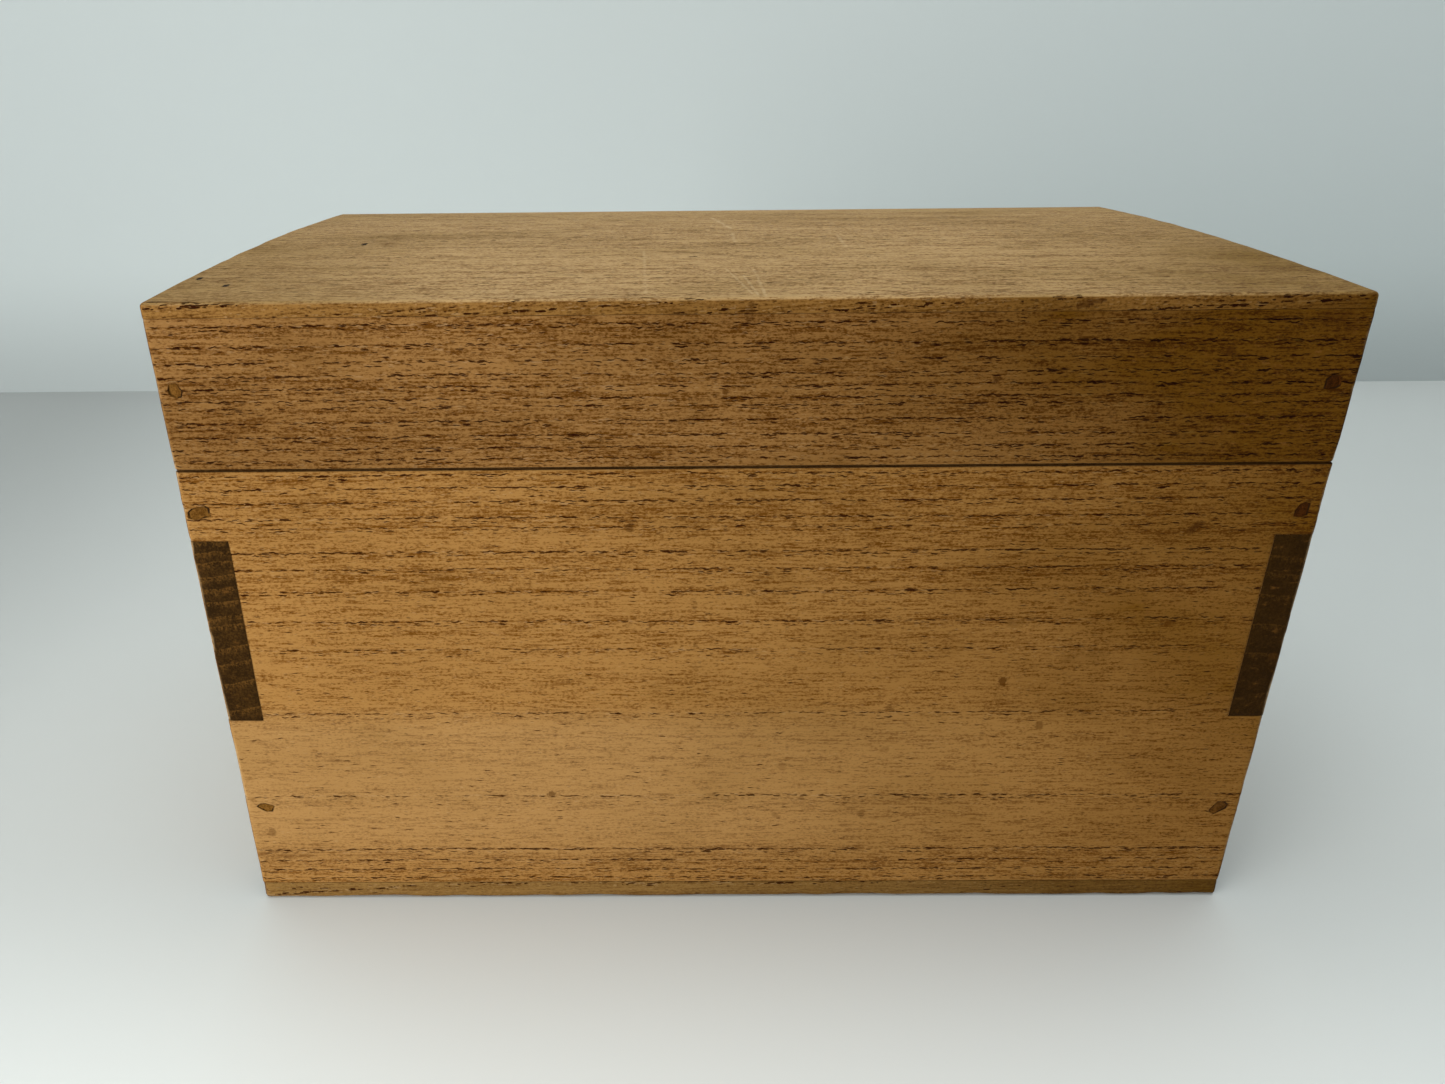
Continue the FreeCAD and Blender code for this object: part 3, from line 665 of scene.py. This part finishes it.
def wood(name, turn, wood_values, browning_and_shade_values, top_values=None, pale_lit_foot=0.0):
    """Make a paulownia finish: the wood, turned so that its grain runs along the board,
    what time has done to it with painted shade, what differs on a face that looks up, and a
    foot paler to the left, partly pale wood and partly painted light."""
    finish = bpy.data.materials.new(name)
    finish.use_nodes = True
    tree = finish.node_tree
    shader = tree.nodes["Principled BSDF"]
    on_object = in_mm(tree)
    stored = {label: node(tree, "ShaderNodeAttribute", attribute_name=label).outputs["Fac"]
              for label in ("arris", "joint", "end_grain", "upward")}
    # Paler towards the lower left: partly the pale wood below the ring at 56 mm, partly painted
    # light from the floor
    if pale_lit_foot:
        x, _, z = node(tree, "ShaderNodeSeparateXYZ", {0: on_object}).outputs[:]
        pale_lit_share = maths(tree, "MULTIPLY", maths(tree, "MULTIPLY", ramp(
            tree, z, 4.0, 24.0, 0.0, 1.0), ramp(tree, z, 60.0, 50.0)),
            ramp(tree, x, -20.0, 110.0, pale_lit_foot, 0.0))
        for label in ("Pale", "Brown"):
            wood_values[label] = blend(tree, pale_lit_share, wood_values[label], PALE_LIT_FOOT)
    if top_values:
        upper = ramp(tree, stored["upward"], *LOOKS_UP)
        for label, value in top_values.items():
            values = wood_values if label in wood_values else browning_and_shade_values
            below = values[label]
            values[label] = (blend(tree, upper, below, value) if isinstance(value, tuple)
                             else ramp(tree, upper, 0.0, 1.0, below, value))
    grain = node(tree, "ShaderNodeGroup", {
        "Position": in_mm(tree, turn), "End Grain": stored["end_grain"]} | wood_values,
        node_tree=paulownia_group)
    browned_and_shaded = node(tree, "ShaderNodeGroup", {
        "Color": grain.outputs["Color"], "Position": on_object, "Arris": stored["arris"],
        "Joint": stored["joint"], "Upward": stored["upward"]} | browning_and_shade_values,
        node_tree=wear_and_shade_group)
    bump = node(tree, "ShaderNodeBump", {
        "Height": grain.outputs["Height"], "Distance": GROOVE_DEPTH, "Strength": 1.0})
    tree.links.new(browned_and_shaded.outputs["Color"], shader.inputs["Base Color"])
    tree.links.new(grain.outputs["Roughness"], shader.inputs["Roughness"])
    tree.links.new(bump.outputs[0], shader.inputs["Normal"])
    shader.inputs["IOR"].default_value = WOOD_IOR
    shader.inputs["Specular IOR Level"].default_value = WOOD_SPECULAR
    return finish


GROOVE = (0.034, 0.006, 0.0002, 1)
END_GRAIN = (0.024, 0.01, 0.001, 1)
FRONT_RINGS = {"Tilt": 0.25, "Shift": 17.6, "Waviness": 0.3}
# The front's colours carry painted shade to the right and higher up, and painted light at the
# lower left, besides browning and pale wood
body_front_finish = wood("body_front_paulownia", GRAIN_ALONG_X, FRONT_RINGS | {
    "Streaks": 1.6, "Pale": (0.378, 0.19, 0.052, 1), "Brown": (0.165, 0.06, 0.0065, 1),
    "Groove": GROOVE, "End": END_GRAIN,
}, {"Shaded Side": 0.77, "Mottle": 0.18, "Specks": 0.8}, pale_lit_foot=0.27)
RUST = (0.04, 0.011, 0.001, 1)
DUST = (0.11, 0.045, 0.006, 1)
front_marks = placed_marks("Marks on the front", "Z", (
    ((63.2, 149.4), (67.5, 150.9), 1.0, 0.9, RUST),
    ((-1.0, 150.2), (-1.3, 147.3), 1.0, 0.7, RUST),
    ((93.6, 140.0), (94.4, 140.4), 1.3, 0.75, RUST),
    ((112, 147), (116, 146), 3.6, 0.4, RUST),
    ((94, 101.4), (96.2, 102.9), 1.2, 0.65, RUST),
    ((73, 69.5), (79, 70.5), 3.0, 0.45, DUST),
    ((59, 79), (61, 79), 1.6, 0.45, DUST),
    ((48.4, 134.7), (49, 134.7), 0.9, 0.8, RUST),
    ((93.7, 58), (96.2, 46), 0.9, 0.3, DUST),
    ((-72, 89), (-66, 92), 3.2, 0.3, DUST),
    ((-96, 108), (-92, 110), 2.5, 0.25, DUST),
))
mark_finish(body_front_finish, front_marks)
back_finish = wood("back_paulownia", GRAIN_ALONG_X, {
    "Tilt": -0.4, "Shift": 37.0, "Waviness": 0.9,
    "Pale": (0.385, 0.192, 0.054, 1), "Brown": (0.17, 0.062, 0.0075, 1),
    "Groove": GROOVE, "End": END_GRAIN,
}, {"Shaded Side": 0.3, "Mottle": 0.35, "Specks": 0.7})

LOWER_JOINT, UPPER_JOINT = 54.1 * MM, 100.2 * MM
SHOULDER_X, SHOULDER_Y = 112.4 * MM, 61.9 * MM
for side, finish in (("front", body_front_finish), ("back", back_finish)):
    heads = nail_edges(f"body_{side}_nails", Vector((0, -1 if side == "front" else 1, 0)))
    board(f"{side}_board", f"body_{side}_board", "body", "wall_wood", finish, (1, 0, 0),
          ([-SHOULDER_X, SHOULDER_X] + heads[0], (), [LOWER_JOINT, UPPER_JOINT] + heads[2]))


# Body end boards
# The same paulownia, its grain from front to back. One middle finger at each corner fills
# the notch between the long boards' fingers and shows its dark end grain on the front.
end_finishes = {}
for side, shift, tilt, end_rows in (("left", 7.0, 0.14, (0.11, 0.049, 0.009, 1)),
                                    ("right", -9.0, -0.1, (0.065, 0.028, 0.004, 1))):
    end_finishes[side] = wood(f"{side}_end_paulownia", GRAIN_ALONG_Y, {
        "Tilt": tilt, "Shift": shift, "Waviness": 0.9,
        "Pale": (0.36, 0.18, 0.052, 1), "Brown": (0.165, 0.063, 0.0095, 1),
        "Groove": GROOVE, "End": END_GRAIN, "End Rows": end_rows,
    }, {"Shaded Side": 0.1, "Mottle": 0.35, "Specks": 0.7})
    heads = nail_edges(f"body_{side}_nails", Vector((-1 if side == "left" else 1, 0, 0)))
    board(f"{side}_end_board", f"body_{side}_end_board", "body", "wall_wood",
          end_finishes[side], (0, 1, 0),
          ((), [-SHOULDER_Y, SHOULDER_Y] + heads[1], [LOWER_JOINT, UPPER_JOINT] + heads[2]))


# Bottom board
# One thin paulownia board under the whole box, glued and nailed from beneath. Its edge
# shows as a darker strip along the foot, rounded and scuffed at the corners.
bottom_finish = wood("bottom_paulownia", (math.radians(90), 0, math.radians(1.2)), {
    "Tilt": 0.5, "Shift": 85.0, "Waviness": 1.0, "Pores": 0.6,
    "Pale": (0.27, 0.148, 0.042, 1), "Brown": (0.14, 0.065, 0.015, 1),
    "Groove": GROOVE, "End": END_GRAIN,
}, {"Shaded Side": 1.35, "Mottle": 0.1, "Specks": 0.5, "Rubbed": (0.2, 0.1, 0.035, 1)})
board("bottom_board_worn", "bottom_board", "body", "bottom_wood", bottom_finish, (1, 0, 0),
      Arris_Wear=0.5 * MM)


# Liner
# Four thin boards stand on the bottom board inside the walls, mitred at the corners and
# glued. They rise above the rim, where the lid fits over them.
LINER_WOOD = {"Tilt": 0.2, "Waviness": 0.7, "Pores": 0.5, "Banding": 0.7,
              "Groove": (0.09, 0.045, 0.016, 1), "End": (0.2, 0.11, 0.045, 1)}
LINER_AGE = {"Mottle": 0.12, "Specks": 0.25, "Seam": NO_SEAM}
liner_finish = wood("liner_paulownia", GRAIN_ALONG_X, LINER_WOOD | {
    "Shift": 20.0, "Pale": (0.50, 0.32, 0.15, 1), "Brown": (0.33, 0.18, 0.065, 1)}, LINER_AGE)
short_liner_finish = wood("short_liner_paulownia", GRAIN_ALONG_Y, LINER_WOOD | {
    "Shift": 48.0, "Pale": (0.49, 0.31, 0.145, 1), "Brown": (0.32, 0.175, 0.063, 1)}, LINER_AGE)
for side, finish, grain in (("front", liner_finish, (1, 0, 0)),
                            ("back", liner_finish, (1, 0, 0)),
                            ("left", short_liner_finish, (0, 1, 0)),
                            ("right", short_liner_finish, (0, 1, 0))):
    board(f"{side}_liner", f"liner_{side}", "body", "liner_wood", finish, grain,
          ((), (), (SEAM,)))


# Lid walls
# The sawn-off top of the same carcass: its rings carry on from the body's. It is darker
# than the body, most of all to the right, partly browned with use and partly painted shade.
LID_GROOVE = (0.026, 0.0045, 0.0001, 1)
lid_front_finish = wood("lid_front_paulownia", GRAIN_ALONG_X, FRONT_RINGS | {
    "Banding": 0.8, "Streaks": 1.75,
    "Pale": (0.315, 0.157, 0.047, 1), "Brown": (0.125, 0.045, 0.005, 1),
    "Groove": LID_GROOVE, "End": END_GRAIN,
}, {"Shaded Side": 0.98, "Mottle": 0.25, "Specks": 0.9, "Joint Dirt": 0.0,
    "Dark Ends": 0.12})
mark_finish(lid_front_finish, front_marks)
for side, finish in (("front", lid_front_finish), ("back", back_finish)):
    heads = nail_edges(f"lid_{side}_nails", Vector((0, -1 if side == "front" else 1, 0)))
    board(f"lid_{side}", f"lid_{side}_board", "lid", "wall_wood", finish, (1, 0, 0),
          (heads[0], (), heads[2]))
for side in ("left", "right"):
    board(f"lid_{side}_end", f"lid_{side}_end_board", "lid", "wall_wood",
          end_finishes[side], (0, 1, 0))


# Lid top board
# A thin straight-grained board glued flush on the lid's walls and planed to a low crown
# from front to back. It is paler and greyer on top, and its grain runs out at the front.
top_finish = wood("top_paulownia", (math.radians(90), 0, math.radians(2.6)), {
    "Tilt": 0.8, "Shift": 310.0, "Waviness": 0.35, "Pores": 0.95, "Banding": 0.6,
    "Streaks": 1.3, "Fine Pores": 0.3,
    "Pale": (0.295, 0.146, 0.036, 1), "Brown": (0.115, 0.043, 0.005, 1),
    "Groove": LID_GROOVE, "End": END_GRAIN,
}, {"Shaded Side": 0.65, "Dark Ends": 0.0, "Mottle": 0.3, "Specks": 0.6, "Joint Dirt": 0.0,
    "Rubbed": (0.5, 0.32, 0.13, 1)}, {
    "Pores": 0.25, "Streaks": 1.75, "Fine Pores": 0.25, "Shaded Side": 0.1,
    "Dark Ends": 0.45, "Specks": 0.6,
    "Pale": (0.47, 0.305, 0.133, 1), "Brown": (0.23, 0.12, 0.04, 1),
    "Groove": (0.05, 0.024, 0.008, 1),
})
# PIT is painted shade: the dark inside of small pits in the top, which the surface does not model
PIT = (0.012, 0.005, 0.001, 1)
SCRATCH = (0.56, 0.41, 0.22, 1)
top_marks = placed_marks("Marks on top", "Y", (
    ((-117.6, -47.5), (-117.6, -49.1), 0.75, 2.5, PIT),
    ((-109.2, -54.8), (-109.2, -56.2), 0.7, 2.5, PIT),
    ((-93.2, -4.7), (-93.2, -6.5), 0.75, 2.5, PIT),
    ((-3.6, 44.8), (0.4, 17.4), 0.7, 0.5, SCRATCH),
    ((0.2, 8.0), (-0.1, -7.5), 0.7, 0.35, SCRATCH),
    ((1.7, -43.7), (2.0, -69.4), 0.45, 0.4, SCRATCH),
    ((-4.5, -42.0), (-0.5, -67.0), 0.4, 0.4, SCRATCH),
    ((-1.0, -50.0), (0.6, -68.0), 0.4, 0.4, SCRATCH),
    ((-22.6, -20.0), (-21.5, -66.0), 0.5, 0.25, SCRATCH),
    ((26.9, 3.4), (26.1, -16.2), 0.7, 0.35, SCRATCH),
    ((-14.6, -21.8), (2.3, -28.8), 1.6, 0.5, (0.17, 0.09, 0.03, 1)),
    ((27.5, -66.3), (29.3, -67.0), 0.8, 0.8, (0.1, 0.045, 0.01, 1)),
))
mark_finish(top_finish, top_marks, LOOKS_UP)
mark_finish(top_finish, front_marks, LOOKS_AHEAD)
board("lid_top", "lid_top_board", "lid", "top_wood", top_finish, (1, 0, 0))


# Nails
# Whittled wooden nails, driven through the fingers and the bottom board and cut flush.
# Each head is a few-sided plug, a little sunk, with a dark line painted round it as shade
# in the gap to its hole. Heads further right are darker, partly browned and partly painted shade.

IN_FACE = 0.02 * MM


def nail_tree():
    """Build the tree that finishes nail heads: a thin rim, and a middle cut a little low."""
    tree, given, result = new_group("Cut nail heads", "GeometryNodeTree", {
        "Nails": ("shape", None),
        "Outward": ("vector", (0, -1, 0)),
        "Plane": ("number", 0.07),
        "Rim": ("number", 0.84),
        "Sink": ("number", 0.12 * MM),
        "Seed": ("count", 0),
        "Finish": ("material", None),
    }, {"Nails": "shape"})
    place = node(tree, "GeometryNodeInputPosition").outputs[0]
    depth = maths(tree, "SUBTRACT", given["Plane"], vectors(
        tree, "DOT_PRODUCT", place, given["Outward"]))
    on_head = maths(tree, "LESS_THAN", maths(tree, "ABSOLUTE", depth), IN_FACE)
    inset = node(tree, "GeometryNodeExtrudeMesh", {
        "Mesh": given["Nails"], "Selection": on_head, "Offset Scale": 0.0,
        "Individual": True}, mode="FACES")
    shape = node(tree, "GeometryNodeScaleElements", {
        "Geometry": inset.outputs["Mesh"], "Selection": inset.outputs["Top"],
        "Scale": given["Rim"]}, domain="FACE").outputs[0]
    each = node(tree, "GeometryNodeInputMeshIsland").outputs["Island Index"]
    toned = node(tree, "FunctionNodeRandomValue", {
        2: 0.0, 3: 1.0, "ID": each, "Seed": given["Seed"]}, data_type="FLOAT").outputs[1]
    # Nails further right get a darker tone: partly browning, partly painted shade, as on the
    # boards
    toned = maths(tree, "ADD", maths(tree, "MULTIPLY", toned, 0.35), ramp(
        tree, node(tree, "ShaderNodeSeparateXYZ", {0: place}).outputs[0], -0.11, 0.11,
        0.0, 0.65))
    uneven = noise(tree, place, 300.0, 1.0, W=toned)
    sunk = scaled(tree, given["Outward"], maths(tree, "MULTIPLY", maths(
        tree, "MULTIPLY", given["Sink"], ramp(tree, uneven, 0.35, 0.65, 0.1, 3.0)), -1.0))
    shape = node(tree, "GeometryNodeSetPosition", {
        "Geometry": shape, "Selection": inset.outputs["Top"], "Offset": sunk}).outputs[0]
    for label, value in (("rim", maths(tree, "SUBTRACT", 1.0, inset.outputs["Top"])),
                         ("tone", toned)):
        shape = node(tree, "GeometryNodeStoreNamedAttribute", {
            "Geometry": shape, "Name": label, "Value": value},
            data_type="FLOAT", domain="FACE").outputs[0]
    shape = node(tree, "GeometryNodeRealizeInstances", {0: shape}).outputs[0]
    shape = node(tree, "GeometryNodeSetMaterial",
                 {"Geometry": shape, "Material": given["Finish"]}).outputs[0]
    tree.links.new(shape, result[0])
    return tree


nail_heads = nail_tree()
nail_finish = bpy.data.materials.new("nail_wood")
nail_finish.use_nodes = True
nail_nodes = nail_finish.node_tree
nail_place = in_mm(nail_nodes)
nail_rim = node(nail_nodes, "ShaderNodeAttribute", attribute_name="rim").outputs["Fac"]
nail_tone = node(nail_nodes, "ShaderNodeAttribute", attribute_name="tone").outputs["Fac"]
nail_fleck = noise(nail_nodes, nail_place, 1.3, 4.0, 0.75)
nail_edge = noise(nail_nodes, nail_place, 0.5, 1.0)
# a nail's pale and dark wood, from the palest nail to the darkest; the darkest stand to the
# right, partly browned and partly painted shade
nail_pale = blend(nail_nodes, nail_tone, (0.27, 0.125, 0.022, 1), (0.05, 0.012, 0.0005, 1))
nail_dark = blend(nail_nodes, nail_tone, (0.13, 0.05, 0.005, 1), (0.02, 0.005, 0.0002, 1))
nail_colour = blend(nail_nodes, ramp(nail_nodes, nail_fleck, 0.35, 0.65), nail_pale, nail_dark)
# the dark line round each head is painted shade for the gap between the nail and its hole
nail_colour = blend(nail_nodes, maths(nail_nodes, "MULTIPLY", nail_rim, ramp(
    nail_nodes, nail_edge, 0.42, 0.58, 0.05, 0.95)), nail_colour, (0.02, 0.008, 0.002, 1))
nail_bump = node(nail_nodes, "ShaderNodeBump", {"Height": nail_fleck, "Distance": 0.2 * MM})
nail_shader = nail_nodes.nodes["Principled BSDF"]
nail_nodes.links.new(nail_colour, nail_shader.inputs["Base Color"])
nail_nodes.links.new(nail_bump.outputs[0], nail_shader.inputs["Normal"])
nail_shader.inputs["Roughness"].default_value = 0.65
nail_shader.inputs["IOR"].default_value = WOOD_IOR
nail_shader.inputs["Specular IOR Level"].default_value = WOOD_SPECULAR


for side, outward, reach in (("front", (0, -1, 0), cad_high.y), ("back", (0, 1, 0), cad_high.y),
                             ("left", (-1, 0, 0), cad_high.x), ("right", (1, 0, 0), cad_high.x),
                             ("bottom", (0, 0, -1), 0.0)):
    body_nails = "bottom_nails" if side == "bottom" else f"body_{side}_nails"
    for node_name, body in ((body_nails, "body"), (f"lid_{side}_nails", "lid")):
        if node_name not in frame["nodes"]:
            continue
        mesh = plain_mesh(node_name, merged(node_name))
        piece = through_tree(f"{node_name}_cut", mesh, nail_heads, {
            "Outward": outward, "Plane": reach, "Finish": nail_finish,
            "Seed": len(bpy.data.objects)})
        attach(piece, body)
        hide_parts(node_name)


# Floor and backdrop
# A pale table top, and a pale wall behind it. Neither is part of the object. The table has
# painted light in front of the box and painted shade further out and to the left, where the
# window's light pools; the wall has a painted shadow along its foot and painted light to the
# right.

def plain(name, colour, roughness, painted_shading):
    """Make a painted finish with painted light and shade across it. Each fade names an axis,
    where it starts and ends, and what it multiplies the colour by at its start."""
    finish = bpy.data.materials.new(name)
    finish.use_nodes = True
    tree = finish.node_tree
    shader = tree.nodes["Principled BSDF"]
    place = node(tree, "ShaderNodeTexCoord").outputs["Object"]
    tone = ramp(tree, noise(tree, place, 3.0, 3.0), 0.3, 0.7)
    shade = tuple(part * 0.985 for part in colour[:3]) + (1,)
    painted = blend(tree, tone, colour, shade)
    for axis, start, end, factor in painted_shading:
        along = node(tree, "ShaderNodeSeparateXYZ", {0: place}).outputs[axis]
        painted = scaled(tree, painted, ramp(tree, along, start, end, factor, 1.0))
    tree.links.new(painted, shader.inputs["Base Color"])
    shader.inputs["Roughness"].default_value = roughness
    return finish


def slab(name, corners, finish):
    """Make one flat four-cornered sheet of the surroundings."""
    mesh = bpy.data.meshes.new(name)
    mesh.from_pydata(corners, [], [(0, 1, 2, 3)])
    mesh.materials.append(finish)
    sheet = bpy.data.objects.new(name, mesh)
    bpy.context.scene.collection.objects.link(sheet)


WALL_Y, WALL_TOP = 0.4, 1.8
ROOM = 2.5
# Painted light in front of the box, over its shadow, and painted shade further out and to the
# left, where the window's light pools
slab("table_top", [(-ROOM, -ROOM, 0), (ROOM, -ROOM, 0), (ROOM, WALL_Y, 0), (-ROOM, WALL_Y, 0)],
     plain("table_paint", (0.605, 0.633, 0.61, 1), 0.6,
           (("Y", -0.17, -0.05, 1.35), ("Y", -0.5, -0.1, 0.48), ("X", -0.42, -0.1, 0.6))))
# A painted shadow along the wall's foot, and painted light towards the right
slab("wall", [(-ROOM, WALL_Y, 0), (ROOM, WALL_Y, 0), (ROOM, WALL_Y, WALL_TOP),
              (-ROOM, WALL_Y, WALL_TOP)],
     plain("wall_paint", (0.72, 0.79, 0.78, 1), 0.8,
           (("Z", 0.0, 0.09, 0.78), ("X", -0.2, 0.45, 0.94))))


# Camera
# A phone's wide lens, close to the box and a little left of its middle, looking down.
EYE = Vector((-18.1, -273.1, 191.3)) * MM
YAW, PITCH, ROLL = math.radians(-0.64), math.radians(24.39), math.radians(0.64)
forward = Vector((math.sin(YAW) * math.cos(PITCH), math.cos(YAW) * math.cos(PITCH),
                  -math.sin(PITCH)))
level = Vector((math.cos(YAW), -math.sin(YAW), 0))
down = forward.cross(level)
right = math.cos(ROLL) * level + math.sin(ROLL) * down
down = math.cos(ROLL) * down - math.sin(ROLL) * level
view = bpy.data.cameras.new("view")
view.sensor_width = 36.0
view.lens = 25.74
view.shift_x = 0.0473
view.clip_start = 0.01
camera = bpy.data.objects.new("view", view)
camera.matrix_world = Matrix.Translation(EYE) @ Matrix(
    (right, -down, -forward)).transposed().to_4x4()
bpy.context.scene.collection.objects.link(camera)
bpy.context.scene.camera = camera


# Light
# A large soft window to the left of the viewer, a soft ceiling, and pale light all round.
def soft_light(name, place, aim, size, power, colour):
    """Hang a square soft light and turn it to a point."""
    lamp = bpy.data.lights.new(name, "AREA")
    lamp.shape = "SQUARE"
    lamp.size = size
    lamp.energy = power
    lamp.color = colour
    holder = bpy.data.objects.new(name, lamp)
    holder.location = place
    holder.rotation_euler = (Vector(aim) - Vector(place)).to_track_quat("-Z", "Y").to_euler()
    bpy.context.scene.collection.objects.link(holder)


soft_light("window", (-0.5, -0.5, 0.18), (0, 0, 0.07), 0.4, 3.75, (1.0, 0.985, 0.96))
soft_light("ceiling", (0.0, 0.1, 1.3), (0, 0.05, 0), 1.4, 13.4, (0.97, 0.99, 1.0))
sky = bpy.data.worlds.new("pale_room")
sky.use_nodes = True
sky_nodes = sky.node_tree
BRIGHT_SIDE = (-0.78, 0.12, 0.62)
brightness = vectors(sky_nodes, "DOT_PRODUCT", node(
    sky_nodes, "ShaderNodeTexCoord").outputs["Generated"], BRIGHT_SIDE)
sky_light = sky_nodes.nodes["Background"]
sky_light.inputs["Color"].default_value = (0.93, 0.97, 1.0, 1)
seen = node(sky_nodes, "ShaderNodeLightPath").outputs["Is Camera Ray"]
sky_nodes.links.new(ramp(sky_nodes, seen, 0.0, 1.0, ramp(
    sky_nodes, brightness, -0.8, 0.9, 0.06, 0.56), 0.55), sky_light.inputs["Strength"])
bpy.context.scene.world = sky
bpy.context.scene.view_settings.view_transform = "Standard"
